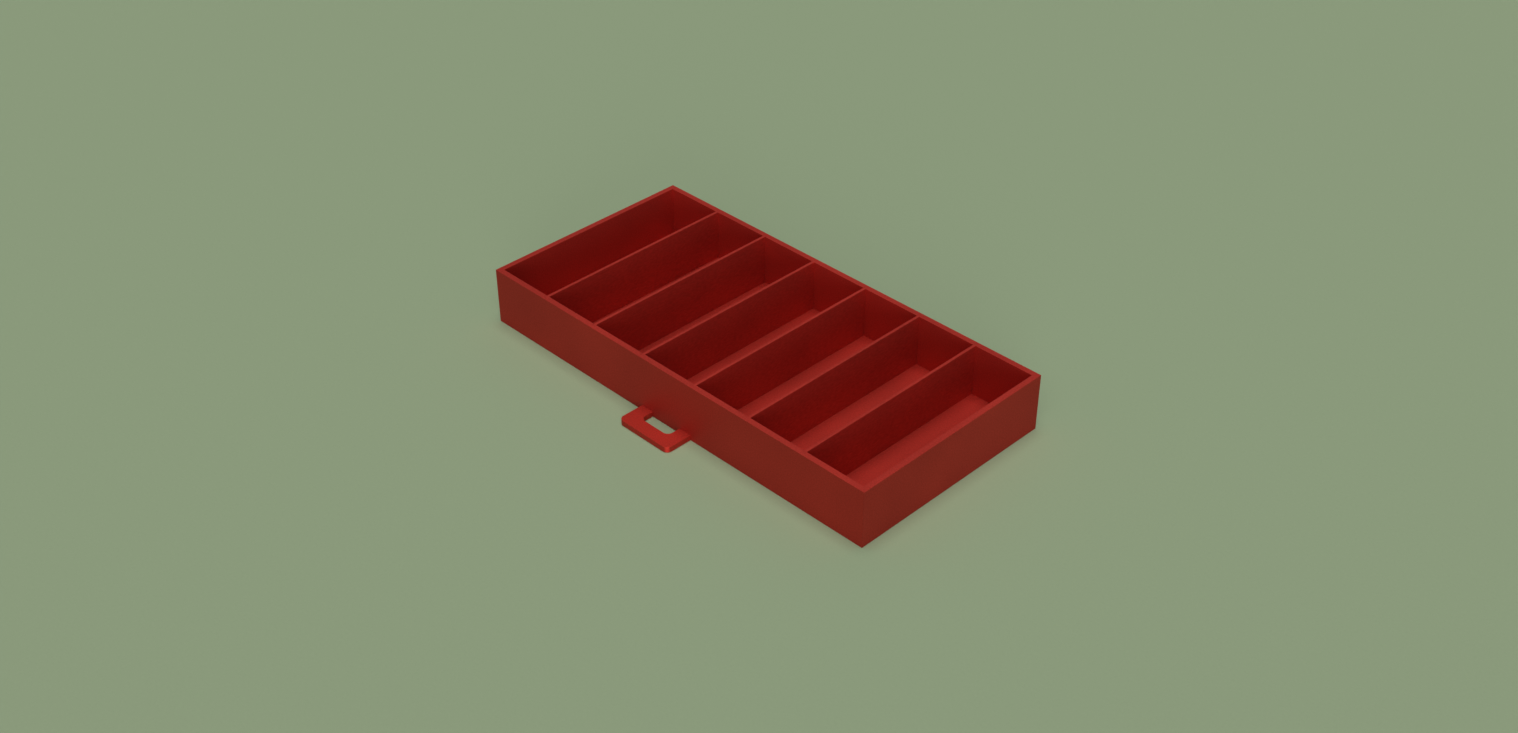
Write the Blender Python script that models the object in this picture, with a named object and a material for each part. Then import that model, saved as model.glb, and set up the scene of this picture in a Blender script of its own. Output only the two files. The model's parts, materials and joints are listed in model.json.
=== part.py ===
"""A shallow parts drawer with seven compartments, six lift-out dividers and a flat finger pull.

Units are metres. The origin is the middle of the drawer's underside. +X runs along the long side,
-Y is the front, where the pull is, and +Z is up.
"""

from math import cos, pi, sin

import bmesh
import bpy
from mathutils import Vector

# Body of the drawer
BODY_LENGTH = 0.165
BODY_WIDTH = 0.080
BODY_HEIGHT = 0.0204
WALL = 0.002
FLOOR = 0.002
COMPARTMENTS = 7

# Dividers
DIVIDER = 0.001
DIVIDER_GROOVE_SHARE = 0.5
FLOOR_GROOVE_SHARE = 0.2

# Clearances: between bonded faces, beside a piece that slides, and at the blind end of a joint
SEAM_GAP = 0.0001
SLIDE_GAP = 0.0001
END_GAP = 0.0003

# How far every cutter runs past the face that it opens
OVERRUN = 0.001

# Tongue around the floor panel, in grooves in the four walls
TONGUE_REACH_SHARE = 0.5
TONGUE_LOW_SHARE = 0.25
TONGUE_HIGH_SHARE = 0.75

# Pull: a flat loop as wide as one compartment, with a tenon on each leg
PULL_REACH = 0.0099
PULL_BAND = 0.0049
PULL_THICKNESS = 0.002
PULL_OUTER_RADIUS = 0.002
PULL_INNER_RADIUS = 0.002
TENON_LENGTH = 0.006
TENON_SHOULDER = 0.00045
TENON_THICKNESS_SHARE = 0.5

# Rivets through the tenons and the floor, flush at both ends
RIVET_RADIUS = 0.0007
RIVET_HEAD_RADIUS = 0.0013
RIVET_HEAD_DEPTH = 0.0005
RIVET_TAIL_RADIUS = 0.0011
RIVET_TAIL_DEPTH = 0.0004
RIVET_SINK = 0.00005
RIVET_PLACE_SHARE = 0.55

# Dowel pins in the mitred corners
PIN_RADIUS_SHARE = 0.25
PIN_PLACE_SHARE = 0.575
PIN_HEIGHT_SHARE = 0.82
PIN_CHAMFER_SHARE = 0.3

# Facets of round shapes
ARC_STEPS = 10
ROUND_SIDES = 32

# Worked out from the sizes above
INNER_LENGTH = BODY_LENGTH - 2 * WALL
INNER_WIDTH = BODY_WIDTH - 2 * WALL
COMPARTMENT = (INNER_LENGTH - (COMPARTMENTS - 1) * DIVIDER) / COMPARTMENTS
DIVIDER_PLACES = [
    -INNER_LENGTH / 2 + (number + 1) * COMPARTMENT + (number + 0.5) * DIVIDER
    for number in range(COMPARTMENTS - 1)
]
DIVIDER_GROOVE = WALL * DIVIDER_GROOVE_SHARE
FLOOR_GROOVE_LEVEL = FLOOR - FLOOR * FLOOR_GROOVE_SHARE
TONGUE_REACH = WALL * TONGUE_REACH_SHARE
TONGUE_LOW = FLOOR * TONGUE_LOW_SHARE
TONGUE_HIGH = FLOOR * TONGUE_HIGH_SHARE
PULL_HALF_WIDTH = COMPARTMENT / 2
SLOT_DEPTH = PULL_REACH - PULL_BAND
SLOT_HALF_WIDTH = PULL_HALF_WIDTH - PULL_BAND
TENON_PLACES = (-PULL_HALF_WIDTH + PULL_BAND / 2, PULL_HALF_WIDTH - PULL_BAND / 2)
TENON_WIDTH = PULL_BAND - 2 * TENON_SHOULDER
TENON_THICKNESS = FLOOR * TENON_THICKNESS_SHARE
TENON_END = WALL + TENON_LENGTH
RIVET_PLACE = WALL + TENON_LENGTH * RIVET_PLACE_SHARE
PIN_RADIUS = WALL * PIN_RADIUS_SHARE
PIN_CHAMFER = PIN_RADIUS * PIN_CHAMFER_SHARE
PIN_INSET = WALL * PIN_PLACE_SHARE
PIN_TOP = BODY_HEIGHT * PIN_HEIGHT_SHARE
PIN_X = BODY_LENGTH / 2 - PIN_INSET
PIN_Y = BODY_WIDTH / 2 - PIN_INSET
PIN_PLACES = {
    "front_left": (-PIN_X, -PIN_Y),
    "front_right": (PIN_X, -PIN_Y),
    "back_left": (-PIN_X, PIN_Y),
    "back_right": (PIN_X, PIN_Y),
}

# Colours of the materials, as linear red, green and blue
RED_PLASTIC = (0.42, 0.022, 0.014, 1.0)
STEEL = (0.55, 0.55, 0.56, 1.0)
ALUMINIUM = (0.78, 0.78, 0.79, 1.0)


def clear_scene():
    for thing in list(bpy.data.objects):
        bpy.data.objects.remove(thing, do_unlink=True)


def material(name, colour, roughness, metallic):
    made = bpy.data.materials.new(name)
    made.use_nodes = True
    shader = made.node_tree.nodes["Principled BSDF"]
    shader.inputs["Base Color"].default_value = colour
    shader.inputs["Roughness"].default_value = roughness
    shader.inputs["Metallic"].default_value = metallic
    return made


def red_plastic(piece):
    return material(piece + "_plastic", RED_PLASTIC, 0.5, 0.0)


def place(name, mesh, finish, location=(0.0, 0.0, 0.0), turn=0.0):
    """An object of this mesh, set down at a point and turned about the upright axis."""
    piece = bpy.data.objects.new(name, mesh)
    bpy.context.scene.collection.objects.link(piece)
    piece.location = location
    piece.rotation_euler.z = turn
    if finish:
        mesh.materials.append(finish)
    return piece


def cutter(name, mesh, location=(0.0, 0.0, 0.0)):
    tool = place(name, mesh, None, location)
    tool.hide_render = True
    tool.display_type = "WIRE"
    return tool


def cut(piece, tool):
    step = piece.modifiers.new("cut_" + tool.name, "BOOLEAN")
    step.operation = "DIFFERENCE"
    step.object = tool


def add(piece, other):
    step = piece.modifiers.new("add_" + other.name, "BOOLEAN")
    step.operation = "UNION"
    step.object = other


def prism_into(shape, outline, low, high, along="z"):
    """Extrudes an outline into this bmesh. Along z the outline is (x, y), and along x it is (y, z)."""
    if along == "z":
        corners = [Vector((first, second, low)) for first, second in outline]
        rise = Vector((0.0, 0.0, high - low))
    else:
        corners = [Vector((low, first, second)) for first, second in outline]
        rise = Vector((high - low, 0.0, 0.0))
    base = shape.faces.new([shape.verts.new(corner) for corner in corners])
    grown = bmesh.ops.extrude_face_region(shape, geom=[base], use_keep_orig=True)
    raised = [item for item in grown["geom"] if isinstance(item, bmesh.types.BMVert)]
    bmesh.ops.translate(shape, verts=raised, vec=rise)


def finished_mesh(name, shape):
    """Turns a bmesh into a mesh whose faces all point out."""
    bmesh.ops.recalc_face_normals(shape, faces=shape.faces[:])
    mesh = bpy.data.meshes.new(name)
    shape.to_mesh(mesh)
    shape.free()
    return mesh


def prism(name, outline, low, high, along="z"):
    shape = bmesh.new()
    prism_into(shape, outline, low, high, along)
    return finished_mesh(name, shape)


def rectangle(low_x, high_x, low_y, high_y):
    return [(low_x, low_y), (high_x, low_y), (high_x, high_y), (low_x, high_y)]


def blocks(name, outlines, low, high):
    """Several upright blocks in one mesh."""
    shape = bmesh.new()
    for outline in outlines:
        prism_into(shape, outline, low, high)
    return finished_mesh(name, shape)


def arc(centre_x, centre_y, radius, first, last):
    """Points on an arc, from one angle to another in quarter turns."""
    angles = [(first + (last - first) * step / ARC_STEPS) * pi / 2 for step in range(ARC_STEPS + 1)]
    return [(centre_x + radius * cos(angle), centre_y + radius * sin(angle)) for angle in angles]


def turned(name, profile, places):
    """A round shape for each place, from (radius, height) points listed from the bottom up."""
    shape = bmesh.new()
    for middle_x, middle_y in places:
        rings = []
        for radius, height in profile:
            ring = []
            for side in range(ROUND_SIDES):
                angle = 2 * pi * side / ROUND_SIDES
                point = (middle_x + radius * cos(angle), middle_y + radius * sin(angle), height)
                ring.append(shape.verts.new(point))
            rings.append(ring)
        for lower, upper in zip(rings, rings[1:]):
            for side in range(ROUND_SIDES):
                after = (side + 1) % ROUND_SIDES
                shape.faces.new((lower[side], lower[after], upper[after], upper[side]))
        shape.faces.new(rings[0])
        shape.faces.new(rings[-1])
    return finished_mesh(name, shape)


def shade_round(piece):
    piece.data.shade_smooth()
    piece.data.set_sharp_from_angle(angle=pi / 6)


def tongue_outline(reach, setback, notch_half_width):
    """Plan of the tongue, which stops short of the corners and of the pull's two tenons.

    A notch half-width of zero leaves the front edge whole, as the walls' groove needs it.
    """
    end_x = INNER_LENGTH / 2 + reach
    end_y = INNER_WIDTH / 2 + reach
    side_x = INNER_LENGTH / 2 - setback
    side_y = INNER_WIDTH / 2 - setback
    front = []
    if notch_half_width:
        for middle in TENON_PLACES:
            front += [
                (middle - notch_half_width, -end_y),
                (middle - notch_half_width, -side_y),
                (middle + notch_half_width, -side_y),
                (middle + notch_half_width, -end_y),
            ]
    return (
        [(-side_x, -end_y)]
        + front
        + [(side_x, -end_y), (side_x, -side_y), (end_x, -side_y), (end_x, side_y)]
        + [(side_x, side_y), (side_x, end_y), (-side_x, end_y), (-side_x, side_y)]
        + [(-end_x, side_y), (-end_x, -side_y), (-side_x, -side_y)]
    )


def make_cutters():
    tools = {}

    # The groove for the floor's tongue, at one level in all four walls
    groove = tongue_outline(TONGUE_REACH, WALL - END_GAP, 0)
    tools["tongue"] = cutter(
        "tongue_groove_cutter",
        prism("tongue_groove", groove, TONGUE_LOW - SEAM_GAP, TONGUE_HIGH + SEAM_GAP),
    )

    # Upright grooves for the dividers' ends, open at the rim
    half_gap = DIVIDER / 2 + SLIDE_GAP
    half_reach = INNER_WIDTH / 2 + DIVIDER_GROOVE
    wall_slots = [rectangle(x - half_gap, x + half_gap, -half_reach, half_reach) for x in DIVIDER_PLACES]
    tools["wall_slots"] = cutter(
        "wall_slot_cutter", blocks("wall_slots", wall_slots, FLOOR, BODY_HEIGHT + OVERRUN)
    )

    # Shallow grooves across the floor for the dividers' feet
    floor_slots = [rectangle(x - half_gap, x + half_gap, -BODY_WIDTH, BODY_WIDTH) for x in DIVIDER_PLACES]
    tools["floor_slots"] = cutter(
        "floor_slot_cutter", blocks("floor_slots", floor_slots, FLOOR_GROOVE_LEVEL, FLOOR + OVERRUN)
    )

    # Recesses for the pull's tenons, through the front wall's foot and into the floor
    front = -BODY_WIDTH / 2
    half_tenon = TENON_WIDTH / 2 + SEAM_GAP
    recesses = [
        rectangle(x - half_tenon, x + half_tenon, front - OVERRUN, front + TENON_END + END_GAP)
        for x in TENON_PLACES
    ]
    tools["tenons"] = cutter(
        "tenon_cutter", blocks("tenons", recesses, -OVERRUN, TENON_THICKNESS + SEAM_GAP)
    )

    # Countersunk holes for the rivets
    rivets = [(x, front + RIVET_PLACE) for x in TENON_PLACES]
    profile = [
        (RIVET_HEAD_RADIUS + SEAM_GAP, -OVERRUN),
        (RIVET_HEAD_RADIUS + SEAM_GAP, RIVET_SINK),
        (RIVET_RADIUS + SEAM_GAP, RIVET_SINK + RIVET_HEAD_DEPTH),
        (RIVET_RADIUS + SEAM_GAP, FLOOR - RIVET_SINK - RIVET_TAIL_DEPTH),
        (RIVET_TAIL_RADIUS + SEAM_GAP, FLOOR - RIVET_SINK),
        (RIVET_TAIL_RADIUS + SEAM_GAP, FLOOR + OVERRUN),
    ]
    tools["rivets"] = cutter("rivet_cutter", turned("rivet_holes", profile, rivets))

    # Blind holes for the corner pins, half in each of the two walls that meet there
    profile = [
        (PIN_RADIUS + SEAM_GAP, -OVERRUN),
        (PIN_RADIUS + SEAM_GAP, PIN_TOP + END_GAP),
    ]
    tools["pins"] = cutter("pin_cutter", turned("pin_holes", profile, PIN_PLACES.values()))
    return tools


def wall(name, length, location, turn, tools):
    """A wall with mitred ends. Its outer face passes through its own origin, and +Y there is inwards."""
    # Each mitre face lies half a seam back, which is this much along the wall
    back = SEAM_GAP / 2 * 2**0.5
    outline = [
        (-length / 2 + back, 0.0),
        (length / 2 - back, 0.0),
        (length / 2 - WALL - back, WALL),
        (-length / 2 + WALL + back, WALL),
    ]
    piece = place(name, prism(name, outline, 0.0, BODY_HEIGHT), red_plastic(name), location, turn)
    cut(piece, tools["tongue"])
    cut(piece, tools["pins"])
    return piece


def make_walls(tools):
    front = wall("front_wall", BODY_LENGTH, (0.0, -BODY_WIDTH / 2, 0.0), 0.0, tools)
    back = wall("back_wall", BODY_LENGTH, (0.0, BODY_WIDTH / 2, 0.0), pi, tools)
    left = wall("left_end_wall", BODY_WIDTH, (-BODY_LENGTH / 2, 0.0, 0.0), -pi / 2, tools)
    right = wall("right_end_wall", BODY_WIDTH, (BODY_LENGTH / 2, 0.0, 0.0), pi / 2, tools)
    for long_wall in (front, back):
        cut(long_wall, tools["wall_slots"])
    cut(front, tools["tenons"])
    return [front, back, left, right]


def make_floor(tools):
    """The floor panel: a plate between the walls, with a thinner tongue around it."""
    half_x = INNER_LENGTH / 2 - SEAM_GAP
    half_y = INNER_WIDTH / 2 - SEAM_GAP
    plate = prism("floor_panel", rectangle(-half_x, half_x, -half_y, half_y), 0.0, FLOOR)
    piece = place("floor_panel", plate, red_plastic("floor_panel"))
    notch = TENON_WIDTH / 2 + END_GAP
    outline = tongue_outline(TONGUE_REACH - SEAM_GAP, WALL, notch)
    add(piece, cutter("floor_tongue", prism("floor_tongue", outline, TONGUE_LOW, TONGUE_HIGH)))
    cut(piece, tools["floor_slots"])
    cut(piece, tools["tenons"])
    cut(piece, tools["rivets"])
    return piece


def make_dividers():
    """Thin partitions. Each slides straight up, so its origin is on that line, at its own foot."""
    foot = FLOOR_GROOVE_LEVEL + SLIDE_GAP
    half_foot = INNER_WIDTH / 2 - SEAM_GAP - SLIDE_GAP
    half_length = INNER_WIDTH / 2 + DIVIDER_GROOVE - SLIDE_GAP
    shoulder = FLOOR + SLIDE_GAP - foot
    top = BODY_HEIGHT - foot
    outline = [
        (-half_foot, 0.0),
        (half_foot, 0.0),
        (half_foot, shoulder),
        (half_length, shoulder),
        (half_length, top),
        (-half_length, top),
        (-half_length, shoulder),
        (-half_foot, shoulder),
    ]
    pieces = []
    for number, place_x in enumerate(DIVIDER_PLACES, 1):
        name = f"divider_{number}"
        mesh = prism(name, outline, -DIVIDER / 2, DIVIDER / 2, along="x")
        pieces.append(place(name, mesh, red_plastic(name), (place_x, 0.0, foot)))
    return pieces


def make_pull(tools):
    """The pull, with its origin on the front wall's face at the underside."""
    outer = min(PULL_OUTER_RADIUS, PULL_BAND)
    inner = min(PULL_INNER_RADIUS, SLOT_DEPTH, SLOT_HALF_WIDTH)
    half = PULL_HALF_WIDTH
    slot = SLOT_HALF_WIDTH
    outline = [(-half, -SEAM_GAP)]
    outline += arc(-half + outer, -PULL_REACH + outer, outer, 2, 3)
    outline += arc(half - outer, -PULL_REACH + outer, outer, 3, 4)
    outline += [(half, -SEAM_GAP), (slot, -SEAM_GAP)]
    outline += arc(slot - inner, -SLOT_DEPTH + inner, inner, 4, 3)
    outline += arc(-slot + inner, -SLOT_DEPTH + inner, inner, 3, 2)
    outline += [(-slot, -SEAM_GAP)]
    seat = (0.0, -BODY_WIDTH / 2, 0.0)
    loop = prism("pull_loop", outline, 0.0, PULL_THICKNESS)
    piece = place("pull_loop", loop, red_plastic("pull_loop"), seat)
    half_tenon = TENON_WIDTH / 2
    tenons = [rectangle(x - half_tenon, x + half_tenon, -PULL_BAND / 2, TENON_END) for x in TENON_PLACES]
    add(piece, cutter("pull_tenons", blocks("pull_tenons", tenons, 0.0, TENON_THICKNESS), seat))
    cut(piece, tools["rivets"])
    return piece


def make_rivets():
    metal = material("rivet_aluminium", ALUMINIUM, 0.35, 1.0)
    profile = [
        (RIVET_HEAD_RADIUS, RIVET_SINK),
        (RIVET_RADIUS, RIVET_SINK + RIVET_HEAD_DEPTH),
        (RIVET_RADIUS, FLOOR - RIVET_SINK - RIVET_TAIL_DEPTH),
        (RIVET_TAIL_RADIUS, FLOOR - RIVET_SINK),
    ]
    pieces = []
    for name, place_x in zip(("pull_rivet_left", "pull_rivet_right"), TENON_PLACES):
        mesh = turned(name, profile, [(0.0, 0.0)])
        piece = place(name, mesh, metal, (place_x, -BODY_WIDTH / 2 + RIVET_PLACE, 0.0))
        shade_round(piece)
        pieces.append(piece)
    return pieces


def make_pins():
    metal = material("pin_steel", STEEL, 0.3, 1.0)
    profile = [
        (PIN_RADIUS - PIN_CHAMFER, END_GAP),
        (PIN_RADIUS, END_GAP + PIN_CHAMFER),
        (PIN_RADIUS, PIN_TOP - PIN_CHAMFER),
        (PIN_RADIUS - PIN_CHAMFER, PIN_TOP),
    ]
    pieces = []
    for corner, (place_x, place_y) in PIN_PLACES.items():
        name = "corner_pin_" + corner
        piece = place(name, turned(name, profile, [(0.0, 0.0)]), metal, (place_x, place_y, 0.0))
        shade_round(piece)
        pieces.append(piece)
    return pieces



def main():
    clear_scene()
    drawer = bpy.data.objects.new("drawer", None)
    bpy.context.scene.collection.objects.link(drawer)
    tools = make_cutters()
    pieces = make_walls(tools)
    pieces.append(make_floor(tools))
    pieces += make_dividers()
    pieces.append(make_pull(tools))
    pieces += make_rivets()
    pieces += make_pins()
    for piece in pieces:
        piece.parent = drawer


main()
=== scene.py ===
"""A shallow drawer for small parts in red moulded plastic, set down on a plain pale floor.

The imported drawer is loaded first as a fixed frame, and every piece made here takes its place and its
size from it. Units are metres. The origin is the middle of the drawer's underside, +X runs along its
long side, -Y is the front, where the pull is, and +Z is up.
"""

import json
from math import atan, cos, pi, radians, sin, sqrt

import bmesh
import bpy
from bpy.props import FloatProperty, FloatVectorProperty, PointerProperty
from mathutils import Matrix, Vector

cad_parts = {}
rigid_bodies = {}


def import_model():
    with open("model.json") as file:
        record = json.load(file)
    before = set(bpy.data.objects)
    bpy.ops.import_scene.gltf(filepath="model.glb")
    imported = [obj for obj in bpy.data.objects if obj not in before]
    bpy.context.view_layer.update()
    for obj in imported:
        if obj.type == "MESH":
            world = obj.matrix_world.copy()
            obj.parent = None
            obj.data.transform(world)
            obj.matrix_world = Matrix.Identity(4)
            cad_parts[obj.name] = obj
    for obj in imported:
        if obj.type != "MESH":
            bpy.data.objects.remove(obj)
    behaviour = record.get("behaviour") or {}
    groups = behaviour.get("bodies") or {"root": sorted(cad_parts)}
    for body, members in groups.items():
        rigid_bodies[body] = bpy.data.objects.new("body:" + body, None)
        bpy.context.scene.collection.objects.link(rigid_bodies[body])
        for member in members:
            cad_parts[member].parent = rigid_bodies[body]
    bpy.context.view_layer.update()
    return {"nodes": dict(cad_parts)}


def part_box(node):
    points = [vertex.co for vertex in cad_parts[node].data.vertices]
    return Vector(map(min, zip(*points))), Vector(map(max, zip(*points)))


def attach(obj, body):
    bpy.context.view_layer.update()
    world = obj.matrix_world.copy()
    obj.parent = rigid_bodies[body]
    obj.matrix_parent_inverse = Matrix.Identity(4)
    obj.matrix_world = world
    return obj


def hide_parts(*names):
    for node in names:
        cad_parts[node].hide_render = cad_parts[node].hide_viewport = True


bl_info = {
    "name": "Divided parts drawer",
    "version": (1, 0, 0),
    "blender": (4, 5, 0),
    "location": "3D View > Sidebar > Drawer",
    "description": "Dresses the packed parts drawer with finished panels, dividers, pull and metalwork",
    "category": "Object",
}

for leftover in list(bpy.data.objects):
    bpy.data.objects.remove(leftover, do_unlink=True)
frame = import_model()

MILLIMETRE = 0.001

# What the frame says of the drawer's body, its panels and its dividers
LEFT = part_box("left_end_wall")[0].x
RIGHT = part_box("right_end_wall")[1].x
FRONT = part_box("front_wall")[0].y
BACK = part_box("back_wall")[1].y
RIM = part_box("front_wall")[1].z
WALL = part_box("front_wall")[1].y - FRONT
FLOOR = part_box("floor_panel")[1].z
DIVIDERS = sorted(name for name in frame["nodes"] if name.startswith("divider_"))
PULL_LOW, PULL_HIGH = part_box("pull_loop")
RIVETS = ("pull_rivet_left", "pull_rivet_right")
PINS = tuple(sorted(name for name in frame["nodes"] if name.startswith("corner_pin_")))

# Hidden joinery, which shows where a divider is lifted out or the drawer is turned over
TONGUE_REACH_SHARE = 0.5
TONGUE_LOW_SHARE = 0.25
TONGUE_HIGH_SHARE = 0.75
TENON_THICKNESS_SHARE = 0.5
TENON_SHOULDER_SHARE = 0.1
RIVET_SHANK_SHARE = 0.54
RIVET_TAIL_SHARE = 0.85
RIVET_HEAD_DEPTH_SHARE = 0.26
RIVET_TAIL_DEPTH_SHARE = 0.21
OVERRUN = 1 * MILLIMETRE
NEAR = 0.01 * MILLIMETRE

# Facets of round shapes
ARC_STEPS = 24
ROUND_SIDES = 48
ARRIS_STEPS = 2

# The camera looks down one diagonal of a cube, so that all three axes are foreshortened alike
CAMERA_AZIMUTH = radians(45)
CAMERA_ELEVATION = atan(1 / sqrt(2))
CAMERA_AIM = Vector((-0.0019, 0.0028, 0.0))
CAMERA_DISTANCE = 0.5973
CAMERA_VIEW_ANGLE = radians(45)
SENSOR_WIDTH = 36.0
CAMERA_NEAREST = 0.01

# The floor board lies a hair below the drawer, so that no two faces share a plane
BOARD_HALF = 3.0
BOARD_DROP = 0.05 * MILLIMETRE

# Soft, distant lamps: name, then azimuth, elevation and spread in degrees, then level
LAMPS = (
    ("Key", 40, 47, 45, 0.38),
    ("Overhead", 0, 90, 30, 0.56),
    ("Low_window", 46, 6, 30, 0.46),
    ("Back", 212, 35, 40, 0.03),
)
WORLD_LEVEL = 0.09

# How the grain lies in a moulding, and in a sheet that is drawn out along Y
EVEN_LAY = (1.0, 1.0, 1.0)
DRAWN_LAY = (1.0, 0.35, 1.0)

# The flaked plastic: how metallic and rough it is, its slow cloud, and how far its colour varies
FLAKE_METALLIC = 0.85
FLAKE_ROUGHNESS = 0.6
FLAKE_ROUGHNESS_SWING = 0.04
FLOW_WIDTH = 24 * MILLIMETRE
GRAIN_WEIGHT = 2.0
MOTTLE_LOW = 0.7
MOTTLE_HIGH = 2.3
FLAKE_CONTRAST = 0.28
GRAIN_DEPTH = 0.02 * MILLIMETRE

# Where the painted highlight on the pull's corners begins and is full, by how far a face turns from the
# front to a side: 1 on a flat face
GLINT_BEGINS = 1.25
GLINT_FULL = sqrt(2)

# Spacing of the patterns on the metals and the floor, as drawn
RING_SPACING = 0.15 * MILLIMETRE
SCRATCH_SPACING = 0.2 * MILLIMETRE
NAP_WIDTH = 0.8 * MILLIMETRE

# A face that turns less than this from its neighbour is shaded as one curve with it
PULL_SMOOTH_ANGLE = radians(15)

# Sockets of the Mix node when it mixes colours
MIX_FIRST = 6
MIX_SECOND = 7
MIX_RESULT = 2


def to_linear(hex_colour):
    """Linear red, green and blue from an sRGB hex value."""
    shares = [int(hex_colour[place:place + 2], 16) / 255 for place in (0, 2, 4)]
    return tuple(s / 12.92 if s <= 0.04045 else ((s + 0.055) / 1.055) ** 2.4 for s in shares)


class DrawerSizes(bpy.types.PropertyGroup):
    """Fine sizes of the dressed pieces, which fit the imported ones."""

    arris: FloatProperty(
        name="Arris",
        description="Rounding along the rims and the outer edges",
        default=0.06 * MILLIMETRE,
        min=0.0,
        unit="LENGTH",
        precision=5,
    )
    seam: FloatProperty(
        name="Seam",
        description="Hairline between two panels that are bonded together",
        default=0.02 * MILLIMETRE,
        min=0.0,
        unit="LENGTH",
        precision=5,
    )
    play: FloatProperty(
        name="Play",
        description="Room on each side of a divider in its grooves",
        default=0.02 * MILLIMETRE,
        min=0.0,
        unit="LENGTH",
        precision=5,
    )
    pull_band: FloatProperty(
        name="Pull band",
        description="Width of the pull's flat band",
        default=4.9 * MILLIMETRE,
        min=1 * MILLIMETRE,
        unit="LENGTH",
        precision=4,
    )
    pull_corner: FloatProperty(
        name="Pull corner",
        description="Radius of the pull's corners, inside and outside",
        default=2 * MILLIMETRE,
        min=0.1 * MILLIMETRE,
        unit="LENGTH",
        precision=4,
    )
    grain: FloatProperty(
        name="Grain",
        description="Width of one grain of the moulded texture, as drawn",
        default=0.5 * MILLIMETRE,
        min=0.05 * MILLIMETRE,
        unit="LENGTH",
        precision=5,
    )


class DrawerColours(bpy.types.PropertyGroup):
    """Colours of the finishes and the stage."""

    plastic: FloatVectorProperty(
        name="Plastic",
        description="Colour of the red pigment in the moulded plastic",
        default=to_linear("B6362B"),
        subtype="COLOR",
        min=0.0,
        max=1.0,
    )
    # Painted light: the pull's plastic is the walls' plastic made a touch lighter and redder, to stand for
    # the red light that the front wall reflects onto the pull
    pull: FloatVectorProperty(
        name="Pull",
        description="Colour of the pull's plastic, a moulding of its own and a touch redder",
        default=to_linear("BC362A"),
        subtype="COLOR",
        min=0.0,
        max=1.0,
    )
    # The next colour is a painted highlight: the glint on the pull's two rounded front corners, laid on as
    # a lighter, redder colour
    painted_glint: FloatVectorProperty(
        name="Rubbed",
        description="Colour of the pull's plastic where fingers rub its corners bright",
        default=to_linear("E8433A"),
        subtype="COLOR",
        min=0.0,
        max=1.0,
    )
    aluminium: FloatVectorProperty(
        name="Aluminium",
        description="Colour of the rivets",
        default=to_linear("B4B6B9"),
        subtype="COLOR",
        min=0.0,
        max=1.0,
    )
    steel: FloatVectorProperty(
        name="Steel",
        description="Colour of the ground dowel pins",
        default=to_linear("C2C3C6"),
        subtype="COLOR",
        min=0.0,
        max=1.0,
    )
    floor: FloatVectorProperty(
        name="Floor",
        description="Colour of the plain floor",
        default=to_linear("8A997B"),
        subtype="COLOR",
        min=0.0,
        max=1.0,
    )


def add_node(tree, kind, values=None, links=None, **settings):
    """Adds a node to a tree, with its settings, the values of its sockets and the links into them."""
    made = tree.nodes.new(kind)
    for name, setting in settings.items():
        setattr(made, name, setting)
    for socket, value in (values or {}).items():
        made.inputs[socket].default_value = value
    for socket, source in (links or {}).items():
        tree.links.new(source, made.inputs[socket])
    return made


def new_finish(name, base, roughness, **constants):
    """A material with its Principled shader, and that shader's own sockets set."""
    finish = bpy.data.materials.new(name)
    finish.use_nodes = True
    tree = finish.node_tree
    shader = tree.nodes["Principled BSDF"]
    shader.inputs["Base Color"].default_value = (*base, 1.0)
    shader.inputs["Roughness"].default_value = roughness
    for socket, value in constants.items():
        shader.inputs[socket.replace("_", " ")].default_value = value
    return finish, tree, shader


def varied(tree, base, factor, depth):
    """The base colour made darker and lighter by a pattern, by this depth each way."""
    dark = (*(channel * (1 - depth) for channel in base), 1.0)
    light = (*(channel * (1 + depth) for channel in base), 1.0)
    mix = add_node(
        tree,
        "ShaderNodeMix",
        {MIX_FIRST: dark, MIX_SECOND: light},
        {0: factor},
        data_type="RGBA",
    )
    return mix.outputs[MIX_RESULT]


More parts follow.
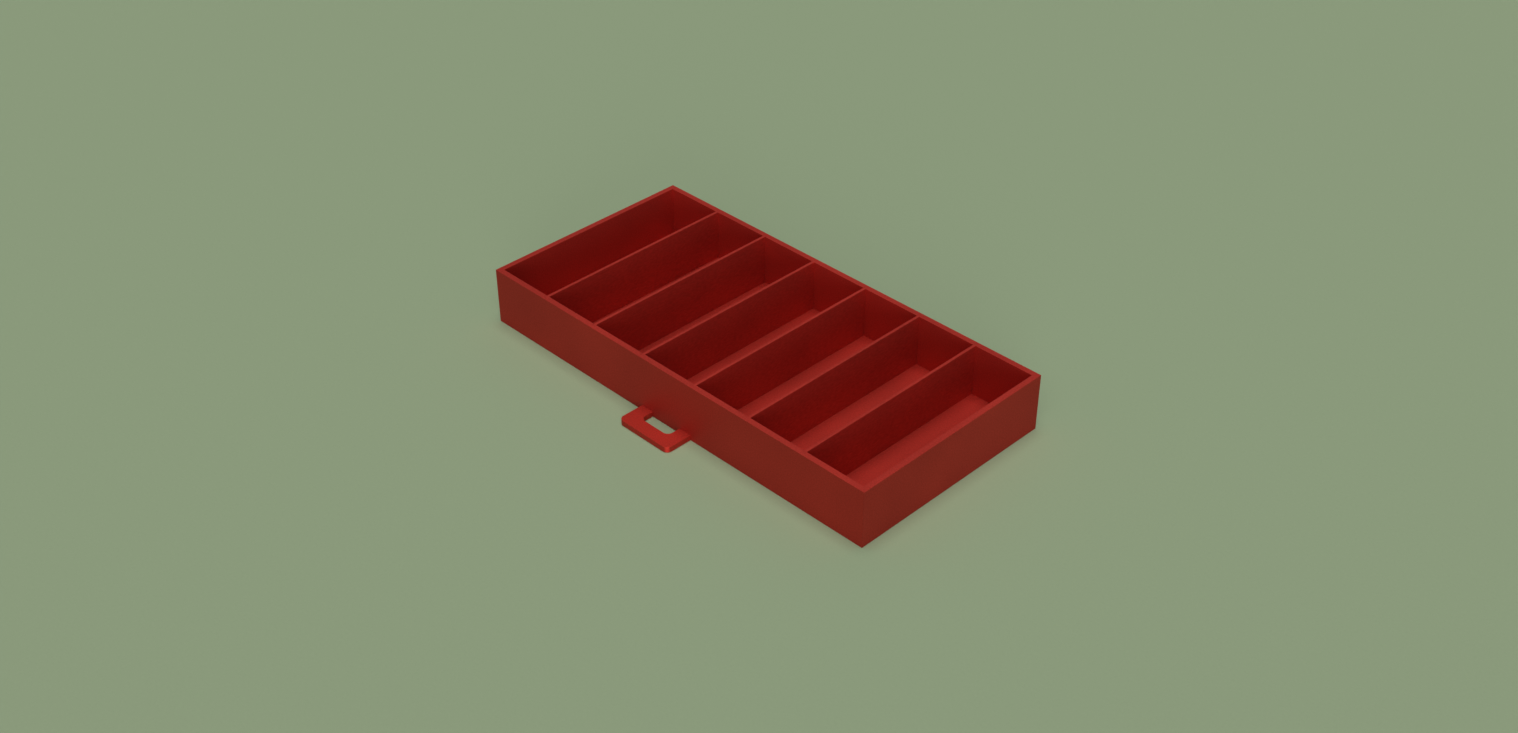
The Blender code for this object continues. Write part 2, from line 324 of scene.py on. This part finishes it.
def flaked_abs(name, base, lay):
    """ABS with red metal-effect flake in it, moulded against a spark-eroded tool.

    The flake lies almost level and is taken as mostly metallic: reflections are red like the body, broad
    and satin, and faces that look at each other warm one another. The tool leaves an even grain about
    0.05 mm wide, and the flakes are as fine. That is too fine to show here, so both are drawn about ten
    times as coarse and very shallow. The lay stretches the grain along an axis, as drawn sheet has it. A
    slow cloud stands for the melt's flow.
    """
    sizes = bpy.context.scene.drawer_sizes
    finish, tree, shader = new_finish(name, base, FLAKE_ROUGHNESS, Metallic=FLAKE_METALLIC)
    place = add_node(tree, "ShaderNodeTexCoord").outputs["Object"]
    stretched = add_node(
        tree, "ShaderNodeVectorMath", {1: lay}, {0: place}, operation="MULTIPLY"
    ).outputs[0]
    grain = add_node(
        tree,
        "ShaderNodeTexNoise",
        {"Scale": 1 / sizes.grain, "Detail": 3.0, "Roughness": 0.6},
        {"Vector": stretched},
    ).outputs["Fac"]
    flow = add_node(
        tree,
        "ShaderNodeTexNoise",
        {"Scale": 1 / FLOW_WIDTH, "Detail": 2.0, "Roughness": 0.5},
        {"Vector": place},
    ).outputs["Fac"]
    mottle = add_node(
        tree, "ShaderNodeMath", {1: GRAIN_WEIGHT}, {0: grain, 2: flow}, operation="MULTIPLY_ADD"
    ).outputs[0]
    share = add_node(
        tree, "ShaderNodeMapRange", {"From Min": MOTTLE_LOW, "From Max": MOTTLE_HIGH}, {"Value": mottle}
    ).outputs["Result"]
    tree.links.new(varied(tree, base, share, FLAKE_CONTRAST), shader.inputs["Base Color"])
    dull = FLAKE_ROUGHNESS + FLAKE_ROUGHNESS_SWING
    bright = FLAKE_ROUGHNESS - FLAKE_ROUGHNESS_SWING
    rough = add_node(
        tree, "ShaderNodeMapRange", {"To Min": dull, "To Max": bright}, {"Value": share}
    ).outputs["Result"]
    tree.links.new(rough, shader.inputs["Roughness"])
    bump = add_node(
        tree,
        "ShaderNodeBump",
        {"Strength": 0.12, "Distance": GRAIN_DEPTH},
        {"Height": grain},
    )
    tree.links.new(bump.outputs["Normal"], shader.inputs["Normal"])
    return finish


def paint_corner_glint(finish):
    """A painted highlight on the pull: its two rounded front corners are coloured a lighter, redder red,
    which stands for a glint that the lamps don't give.

    The painted highlight lies where a face turns from the front to a side, widest at the diagonal, and
    fades out before the flat faces on either hand.
    """
    tree = finish.node_tree
    shader = tree.nodes["Principled BSDF"]
    plain = shader.inputs["Base Color"].links[0].from_socket
    painted_glint = (*bpy.context.scene.drawer_colours.painted_glint, 1.0)
    facing = add_node(tree, "ShaderNodeNewGeometry").outputs["Normal"]
    parts = add_node(tree, "ShaderNodeSeparateXYZ", None, {0: facing}).outputs
    sideways = add_node(tree, "ShaderNodeMath", None, {0: parts["X"]}, operation="ABSOLUTE").outputs[0]
    diagonal = add_node(
        tree, "ShaderNodeMath", None, {0: sideways, 1: parts["Y"]}, operation="SUBTRACT"
    ).outputs[0]
    # Share of the painted highlight, full at the diagonal of each rounded front corner
    glint_share = add_node(
        tree,
        "ShaderNodeMapRange",
        {"From Min": GLINT_BEGINS, "From Max": GLINT_FULL},
        {"Value": diagonal},
        interpolation_type="SMOOTHSTEP",
    ).outputs["Result"]
    mix = add_node(
        tree, "ShaderNodeMix", {MIX_SECOND: painted_glint}, {0: glint_share, MIX_FIRST: plain}, data_type="RGBA"
    )
    tree.links.new(mix.outputs[MIX_RESULT], shader.inputs["Base Color"])


def turned_aluminium(name, middle):
    """Aluminium rivet wire, its end dressed flat on a lathe.

    The tool leaves fine rings about the rivet's axis, so the small disc has a soft, dull spin of light. The
    real rings are about 0.03 mm apart, and they are drawn five times as far apart so that they show.
    """
    base = bpy.context.scene.drawer_colours.aluminium
    finish, tree, shader = new_finish(name, base, 0.55, Metallic=1.0)
    place = add_node(tree, "ShaderNodeTexCoord").outputs["Object"]
    flat = (middle.x, middle.y, 0.0)
    about = add_node(
        tree, "ShaderNodeVectorMath", {1: flat}, {0: place}, operation="SUBTRACT"
    ).outputs[0]
    level = add_node(
        tree, "ShaderNodeVectorMath", {1: (1.0, 1.0, 0.0)}, {0: about}, operation="MULTIPLY"
    ).outputs[0]
    reach = add_node(tree, "ShaderNodeVectorMath", None, {0: level}, operation="LENGTH").outputs["Value"]
    turns = add_node(
        tree, "ShaderNodeMath", {1: 2 * pi / RING_SPACING}, {0: reach}, operation="MULTIPLY"
    ).outputs[0]
    rings = add_node(tree, "ShaderNodeMath", None, {0: turns}, operation="SINE").outputs[0]
    share = add_node(
        tree, "ShaderNodeMapRange", {"From Min": -1.0, "To Min": 0.0, "To Max": 1.0}, {"Value": rings}
    ).outputs["Result"]
    tree.links.new(varied(tree, base, share, 0.08), shader.inputs["Base Color"])
    rough = add_node(
        tree, "ShaderNodeMapRange", {"To Min": 0.5, "To Max": 0.6}, {"Value": share}
    ).outputs["Result"]
    tree.links.new(rough, shader.inputs["Roughness"])
    bump = add_node(
        tree, "ShaderNodeBump", {"Strength": 0.2, "Distance": 0.01 * MILLIMETRE}, {"Height": share}
    )
    tree.links.new(bump.outputs["Normal"], shader.inputs["Normal"])
    return finish


def ground_steel(name):
    """Dowel pin steel, ground between wheels.

    Grinding leaves a bright, even grey with faint scratches round the pin, drawn coarse so that they show.
    """
    base = bpy.context.scene.drawer_colours.steel
    finish, tree, shader = new_finish(name, base, 0.3, Metallic=1.0)
    place = add_node(tree, "ShaderNodeTexCoord").outputs["Object"]
    squeezed = add_node(
        tree, "ShaderNodeVectorMath", {1: (0.1, 0.1, 1.0)}, {0: place}, operation="MULTIPLY"
    ).outputs[0]
    scratches = add_node(
        tree,
        "ShaderNodeTexNoise",
        {"Scale": 1 / SCRATCH_SPACING, "Detail": 2.0},
        {"Vector": squeezed},
    ).outputs["Fac"]
    tree.links.new(varied(tree, base, scratches, 0.1), shader.inputs["Base Color"])
    rough = add_node(
        tree, "ShaderNodeMapRange", {"To Min": 0.24, "To Max": 0.38}, {"Value": scratches}
    ).outputs["Result"]
    tree.links.new(rough, shader.inputs["Roughness"])
    return finish


def matt_board(name):
    """Painted board for the floor: matt emulsion, rolled on, with next to no pattern."""
    base = bpy.context.scene.drawer_colours.floor
    finish, tree, shader = new_finish(name, base, 1.0, Specular_IOR_Level=0.0)
    place = add_node(tree, "ShaderNodeTexCoord").outputs["Object"]
    nap = add_node(
        tree,
        "ShaderNodeTexNoise",
        {"Scale": 1 / NAP_WIDTH, "Detail": 2.0},
        {"Vector": place},
    ).outputs["Fac"]
    tree.links.new(varied(tree, base, nap, 0.03), shader.inputs["Base Color"])
    return finish


def extrude_into(shape, outline, low, high, along="z"):
    """Extrudes an outline into this bmesh. Along z the outline is (x, y), and along x it is (y, z)."""
    if along == "z":
        corners = [Vector((first, second, low)) for first, second in outline]
        rise = Vector((0.0, 0.0, high - low))
    else:
        corners = [Vector((low, first, second)) for first, second in outline]
        rise = Vector((high - low, 0.0, 0.0))
    base = shape.faces.new([shape.verts.new(corner) for corner in corners])
    grown = bmesh.ops.extrude_face_region(shape, geom=[base], use_keep_orig=True)
    raised = [item for item in grown["geom"] if isinstance(item, bmesh.types.BMVert)]
    bmesh.ops.translate(shape, verts=raised, vec=rise)


def block(outline, low, high, along="z"):
    """A bmesh with one extruded outline in it."""
    shape = bmesh.new()
    extrude_into(shape, outline, low, high, along)
    bmesh.ops.recalc_face_normals(shape, faces=shape.faces[:])
    return shape


def blocks(outlines, low, high):
    """A bmesh with one extruded outline for each given."""
    shape = bmesh.new()
    for outline in outlines:
        extrude_into(shape, outline, low, high)
    bmesh.ops.recalc_face_normals(shape, faces=shape.faces[:])
    return shape


def rectangle(low_x, high_x, low_y, high_y):
    return [(low_x, low_y), (high_x, low_y), (high_x, high_y), (low_x, high_y)]


def arc(middle_x, middle_y, radius, first, last):
    """Points on an arc, from one angle to another in quarter turns."""
    angles = [(first + (last - first) * step / ARC_STEPS) * pi / 2 for step in range(ARC_STEPS + 1)]
    return [(middle_x + radius * cos(angle), middle_y + radius * sin(angle)) for angle in angles]


def turned(profile, places):
    """A bmesh with a round shape at each place, from (radius, height) points listed from the bottom up."""
    shape = bmesh.new()
    for place in places:
        rings = []
        for radius, height in profile:
            ring = []
            for side in range(ROUND_SIDES):
                angle = 2 * pi * side / ROUND_SIDES
                point = (place.x + radius * cos(angle), place.y + radius * sin(angle), height)
                ring.append(shape.verts.new(point))
            rings.append(ring)
        for lower, upper in zip(rings, rings[1:]):
            for side in range(ROUND_SIDES):
                after = (side + 1) % ROUND_SIDES
                shape.faces.new((lower[side], lower[after], upper[after], upper[side]))
        shape.faces.new(rings[0])
        shape.faces.new(rings[-1])
    bmesh.ops.recalc_face_normals(shape, faces=shape.faces[:])
    return shape


def soften(shape, chosen, width):
    """Rounds the chosen edges by a small radius."""
    edges = [edge for edge in shape.edges if chosen(*(corner.co for corner in edge.verts))]
    bmesh.ops.bevel(
        shape,
        geom=edges,
        offset=width,
        offset_type="OFFSET",
        segments=ARRIS_STEPS,
        profile=0.5,
        affect="EDGES",
        clamp_overlap=True,
    )


def add_piece(name, shape, finish=None):
    """An object at the frame's origin, from a bmesh."""
    mesh = bpy.data.meshes.new(name)
    shape.to_mesh(mesh)
    shape.free()
    piece = bpy.data.objects.new(name, mesh)
    bpy.context.scene.collection.objects.link(piece)
    if finish:
        mesh.materials.append(finish)
    return piece


def combine(piece, shape, operation):
    """Cuts a bmesh's shape out of a piece, or joins it on, and keeps only the result's mesh."""
    tool = add_piece("tool", shape)
    step = piece.modifiers.new("step", "BOOLEAN")
    step.operation = operation
    step.object = tool
    evaluated = piece.evaluated_get(bpy.context.evaluated_depsgraph_get())
    result = bpy.data.meshes.new_from_object(evaluated)
    piece.modifiers.clear()
    replaced = piece.data
    piece.data = result
    result.name = piece.name
    bpy.data.meshes.remove(replaced)
    bpy.data.objects.remove(tool, do_unlink=True)


def dress(piece, body, slot, *nodes):
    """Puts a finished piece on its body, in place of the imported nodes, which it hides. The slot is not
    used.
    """
    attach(piece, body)
    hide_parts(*nodes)


def tenon_places():
    """Where the pull's two tenons run, along X."""
    reach = PULL_HIGH.x - bpy.context.scene.drawer_sizes.pull_band / 2
    return (-reach, reach)


def tenon_outlines(room):
    """Plans of the pull's two tenons, with room around them, running back from the wall's face."""
    band = bpy.context.scene.drawer_sizes.pull_band
    half = band / 2 - band * TENON_SHOULDER_SHARE + room
    return [rectangle(x - half, x + half, FRONT - band / 2, PULL_HIGH.y + room) for x in tenon_places()]


def tongue_outline(reach, notch):
    """Plan of the floor's tongue. A notch wider than nothing clears the pull's tenons."""
    side_x = RIGHT - 2 * WALL
    side_y = BACK - 2 * WALL
    end_x = RIGHT - WALL + reach
    end_y = BACK - WALL + reach
    front = []
    if notch:
        for middle in tenon_places():
            front += [
                (middle - notch, -end_y),
                (middle - notch, -side_y),
                (middle + notch, -side_y),
                (middle + notch, -end_y),
            ]
    return (
        [(-side_x, -end_y)]
        + front
        + [(side_x, -end_y), (side_x, -side_y), (end_x, -side_y), (end_x, side_y)]
        + [(side_x, side_y), (side_x, end_y), (-side_x, end_y), (-side_x, side_y)]
        + [(-end_x, side_y), (-end_x, -side_y), (-side_x, -side_y)]
    )


def divider_grooves(reach, low, high):
    """The grooves that hold the dividers, as one shape to cut away."""
    play = bpy.context.scene.drawer_sizes.play
    outlines = []
    for name in DIVIDERS:
        low_corner, high_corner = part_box(name)
        outlines.append(rectangle(low_corner.x - play, high_corner.x + play, -reach, reach))
    return blocks(outlines, low, high)


def rivet_holes(room):
    """Countersunk holes for the rivets, as one shape to cut away."""
    low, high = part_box(RIVETS[0])
    head = (high.x - low.x) / 2
    shank = head * RIVET_SHANK_SHARE
    tail = head * RIVET_TAIL_SHARE
    depth = high.z - low.z
    profile = [
        (head + room, -OVERRUN),
        (head + room, low.z),
        (shank + room, low.z + depth * RIVET_HEAD_DEPTH_SHARE),
        (shank + room, high.z - depth * RIVET_TAIL_DEPTH_SHARE),
        (tail + room, high.z),
        (tail + room, FLOOR + OVERRUN),
    ]
    return turned(profile, [sum(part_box(name), Vector()) / 2 for name in RIVETS])


def pin_holes(room):
    """Blind holes for the corner pins, as one shape to cut away."""
    low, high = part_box(PINS[0])
    radius = (high.x - low.x) / 2
    profile = [(radius + room, -OVERRUN), (radius + room, high.z + room)]
    return turned(profile, [sum(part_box(name), Vector()) / 2 for name in PINS])


def make_wall(name, finish):
    """One wall: a plank with mitred ends, its rim and its outer foot just broken with a fine radius."""
    sizes = bpy.context.scene.drawer_sizes
    low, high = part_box(name)
    middle = (low + high) / 2
    long_wall = high.x - low.x > high.y - low.y
    length = RIGHT - LEFT if long_wall else BACK - FRONT
    back = sizes.seam / 2 * sqrt(2)
    outline = [
        (-length / 2 + back, 0.0),
        (length / 2 - back, 0.0),
        (length / 2 - WALL - back, WALL),
        (-length / 2 + WALL + back, WALL),
    ]
    shape = block(outline, 0.0, RIM)

    def runs_along(one, other):
        level = abs(one.z - other.z) < NEAR and abs(one.y - other.y) < NEAR
        inner_foot = one.z < RIM / 2 and one.y > WALL / 2
        return level and not inner_foot

    soften(shape, runs_along, sizes.arris)
    if long_wall:
        turn = 0.0 if middle.y < 0 else pi
        face = Vector((0.0, FRONT if middle.y < 0 else BACK, 0.0))
    else:
        turn = -pi / 2 if middle.x < 0 else pi / 2
        face = Vector((LEFT if middle.x < 0 else RIGHT, 0.0, 0.0))
    shape.transform(Matrix.Translation(face) @ Matrix.Rotation(turn, 4, "Z"))
    wall = add_piece(name + "_panel", shape, finish)
    groove = tongue_outline(WALL * TONGUE_REACH_SHARE + sizes.seam, 0.0)
    low_z = FLOOR * TONGUE_LOW_SHARE - sizes.seam
    high_z = FLOOR * TONGUE_HIGH_SHARE + sizes.seam
    combine(wall, block(groove, low_z, high_z), "DIFFERENCE")
    combine(wall, pin_holes(sizes.seam), "DIFFERENCE")
    if long_wall:
        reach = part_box(DIVIDERS[0])[1].y + sizes.play
        combine(wall, divider_grooves(reach, FLOOR, RIM + OVERRUN), "DIFFERENCE")
    if name == "front_wall":
        tenon = PULL_HIGH.z * TENON_THICKNESS_SHARE
        combine(wall, blocks(tenon_outlines(sizes.seam), -OVERRUN, tenon + sizes.seam), "DIFFERENCE")
    dress(wall, "drawer", "panel_plastic", name)


class DRAWER_OT_walls(bpy.types.Operator):
    """Makes the four mitred walls, with the grooves for the dividers and the floor"""

    bl_idname = "drawer.walls"
    bl_label = "Walls"

    def execute(self, context):
        finish = flaked_abs("Flaked_ABS_walls", context.scene.drawer_colours.plastic, EVEN_LAY)
        for name in ("front_wall", "back_wall", "left_end_wall", "right_end_wall"):
            make_wall(name, finish)
        return {"FINISHED"}


class DRAWER_OT_floor(bpy.types.Operator):
    """Makes the floor panel, with its tongue, the dividers' foot grooves and the pull's recesses"""

    bl_idname = "drawer.floor"
    bl_label = "Floor panel"

    def execute(self, context):
        sizes = context.scene.drawer_sizes
        half_x = RIGHT - WALL - sizes.seam
        half_y = BACK - WALL - sizes.seam
        shape = block(rectangle(-half_x, half_x, -half_y, half_y), 0.0, FLOOR)
        finish = flaked_abs("Flaked_ABS_floor", context.scene.drawer_colours.plastic, EVEN_LAY)
        panel = add_piece("floor_sheet", shape, finish)
        tongue = tongue_outline(WALL * TONGUE_REACH_SHARE - sizes.seam, sizes.pull_band / 2)
        low_z = FLOOR * TONGUE_LOW_SHARE
        high_z = FLOOR * TONGUE_HIGH_SHARE
        combine(panel, block(tongue, low_z, high_z), "UNION")
        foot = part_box(DIVIDERS[0])[0].z - sizes.play
        combine(panel, divider_grooves(BACK, foot, FLOOR + OVERRUN), "DIFFERENCE")
        tenon = PULL_HIGH.z * TENON_THICKNESS_SHARE
        combine(panel, blocks(tenon_outlines(sizes.seam), -OVERRUN, tenon + sizes.seam), "DIFFERENCE")
        combine(panel, rivet_holes(sizes.seam), "DIFFERENCE")
        dress(panel, "drawer", "panel_plastic", "floor_panel")
        return {"FINISHED"}


class DRAWER_OT_dividers(bpy.types.Operator):
    """Makes the six thin dividers, each on its own body, so that it lifts straight out"""

    bl_idname = "drawer.dividers"
    bl_label = "Dividers"

    def execute(self, context):
        sizes = context.scene.drawer_sizes
        finish = flaked_abs("Flaked_ABS_dividers", context.scene.drawer_colours.plastic, DRAWN_LAY)
        for name in DIVIDERS:
            low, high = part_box(name)
            half_foot = BACK - WALL - sizes.seam - sizes.play
            shoulder = FLOOR + sizes.play
            outline = [
                (-half_foot, low.z),
                (half_foot, low.z),
                (half_foot, shoulder),
                (high.y, shoulder),
                (high.y, high.z),
                (low.y, high.z),
                (low.y, shoulder),
                (-half_foot, shoulder),
            ]
            shape = block(outline, low.x, high.x, along="x")

            def at_top(one, other, rim=high.z):
                return min(one.z, other.z) > rim - NEAR and abs(one.x - other.x) < NEAR

            soften(shape, at_top, sizes.arris)
            sheet = add_piece(name + "_sheet", shape, finish)
            dress(sheet, name, "divider_plastic", name)
        return {"FINISHED"}


class DRAWER_OT_pull(bpy.types.Operator):
    """Makes the flat pull, with its rounded corners, its slot and the two tenons behind it"""

    bl_idname = "drawer.pull"
    bl_label = "Pull"

    def execute(self, context):
        sizes = context.scene.drawer_sizes
        half = PULL_HIGH.x
        slot = half - sizes.pull_band
        tip = PULL_LOW.y
        slot_tip = tip + sizes.pull_band
        seat = FRONT - sizes.seam
        radius = sizes.pull_corner
        outline = [(-half, seat)]
        outline += arc(-half + radius, tip + radius, radius, 2, 3)
        outline += arc(half - radius, tip + radius, radius, 3, 4)
        outline += [(half, seat), (slot, seat)]
        outline += arc(slot - radius, slot_tip + radius, radius, 4, 3)
        outline += arc(-slot + radius, slot_tip + radius, radius, 3, 2)
        outline += [(-slot, seat)]
        shape = block(outline, PULL_LOW.z, PULL_HIGH.z)

        def around(one, other):
            level = abs(one.z - other.z) < NEAR
            at_seat = min(one.y, other.y) > seat - NEAR
            return level and not at_seat

        soften(shape, around, sizes.arris)
        # The pull's colour is a lighter, redder copy of the walls' plastic: painted light for the red
        # reflection from the front wall
        finish = flaked_abs("Flaked_ABS_pull", context.scene.drawer_colours.pull, EVEN_LAY)
        # Paints a highlight onto the pull's two rounded front corners as a lighter, redder colour
        paint_corner_glint(finish)
        pull = add_piece("finger_pull", shape, finish)
        tenon = PULL_HIGH.z * TENON_THICKNESS_SHARE
        combine(pull, blocks(tenon_outlines(0.0), 0.0, tenon), "UNION")
        combine(pull, rivet_holes(sizes.seam), "DIFFERENCE")
        pull.data.shade_smooth()
        pull.data.set_sharp_from_angle(angle=PULL_SMOOTH_ANGLE)
        dress(pull, "drawer", "pull_plastic", "pull_loop")
        return {"FINISHED"}


class DRAWER_OT_metalwork(bpy.types.Operator):
    """Gives the two rivets and the four corner pins their metal finishes"""

    bl_idname = "drawer.metalwork"
    bl_label = "Rivets and pins"

    def execute(self, context):
        for name in RIVETS:
            middle = sum(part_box(name), Vector()) / 2
            self.finish_node(name, turned_aluminium("Turned_aluminium_" + name, middle), "rivet_aluminium")
        steel = ground_steel("Ground_steel_pins")
        for name in PINS:
            self.finish_node(name, steel, "pin_steel")
        return {"FINISHED"}

    def finish_node(self, name, finish, slot):
        node = frame["nodes"][name]
        for place in node.material_slots:
            place.material = finish


def toward(azimuth, elevation):
    """The direction from the drawer to something at this azimuth, from -Y towards +X, and elevation."""
    level = cos(elevation)
    return Vector((sin(azimuth) * level, -cos(azimuth) * level, sin(elevation)))


def add_sun(name, azimuth, elevation, spread, level):
    """A soft, distant lamp. At level 1 it lights a face square to it as a world of strength 1 would."""
    lamp = bpy.data.lights.new(name, "SUN")
    lamp.energy = level * pi
    lamp.angle = spread
    holder = bpy.data.objects.new(name, lamp)
    holder.rotation_euler = toward(azimuth, elevation).to_track_quat("Z", "Y").to_euler()
    bpy.context.scene.collection.objects.link(holder)


class DRAWER_OT_stage(bpy.types.Operator):
    """Sets the plain floor, the soft light and the camera at the photograph's angle"""

    bl_idname = "drawer.stage"
    bl_label = "Stage"

    def execute(self, context):
        scene = context.scene
        shape = bmesh.new()
        corners = rectangle(-BOARD_HALF, BOARD_HALF, -BOARD_HALF, BOARD_HALF)
        shape.faces.new([shape.verts.new((x, y, 0.0)) for x, y in corners])
        board = add_piece("floor_board", shape, matt_board("Matt_painted_board"))
        board.location.z = -BOARD_DROP

        world = bpy.data.worlds.new("Soft_room")
        scene.world = world
        world.use_nodes = True
        glow = world.node_tree.nodes["Background"]
        glow.inputs["Color"].default_value = (1.0, 1.0, 1.0, 1.0)
        glow.inputs["Strength"].default_value = WORLD_LEVEL
        for name, azimuth, elevation, spread, level in LAMPS:
            add_sun(name, radians(azimuth), radians(elevation), radians(spread), level)

        camera = bpy.data.cameras.new("Camera")
        camera.sensor_fit = "HORIZONTAL"
        camera.sensor_width = SENSOR_WIDTH
        camera.angle = CAMERA_VIEW_ANGLE
        camera.clip_start = CAMERA_NEAREST
        holder = bpy.data.objects.new("Camera", camera)
        back = toward(CAMERA_AZIMUTH, CAMERA_ELEVATION)
        holder.location = CAMERA_AIM + back * CAMERA_DISTANCE
        holder.rotation_euler = back.to_track_quat("Z", "Y").to_euler()
        scene.collection.objects.link(holder)
        scene.camera = holder
        scene.view_settings.view_transform = "Standard"
        return {"FINISHED"}


STEPS = (
    DRAWER_OT_walls,
    DRAWER_OT_floor,
    DRAWER_OT_dividers,
    DRAWER_OT_pull,
    DRAWER_OT_metalwork,
    DRAWER_OT_stage,
)


class DRAWER_PT_panel(bpy.types.Panel):
    """Lists the drawer's sizes and colours, with a button for each step"""

    bl_idname = "DRAWER_PT_panel"
    bl_label = "Parts drawer"
    bl_space_type = "VIEW_3D"
    bl_region_type = "UI"
    bl_category = "Drawer"

    def draw(self, context):
        for group in (context.scene.drawer_sizes, context.scene.drawer_colours):
            for name in group.bl_rna.properties.keys():
                if name not in ("rna_type", "name"):
                    self.layout.prop(group, name)
        for step in STEPS:
            self.layout.operator(step.bl_idname)


CLASSES = (DrawerSizes, DrawerColours, *STEPS, DRAWER_PT_panel)


def register():
    for kind in CLASSES:
        bpy.utils.register_class(kind)
    bpy.types.Scene.drawer_sizes = PointerProperty(type=DrawerSizes)
    bpy.types.Scene.drawer_colours = PointerProperty(type=DrawerColours)


def unregister():
    del bpy.types.Scene.drawer_colours
    del bpy.types.Scene.drawer_sizes
    for kind in reversed(CLASSES):
        bpy.utils.unregister_class(kind)


def main():
    register()
    for step in STEPS:
        group, action = step.bl_idname.split(".")
        getattr(getattr(bpy.ops, group), action)()


if __name__ == "__main__":
    main()
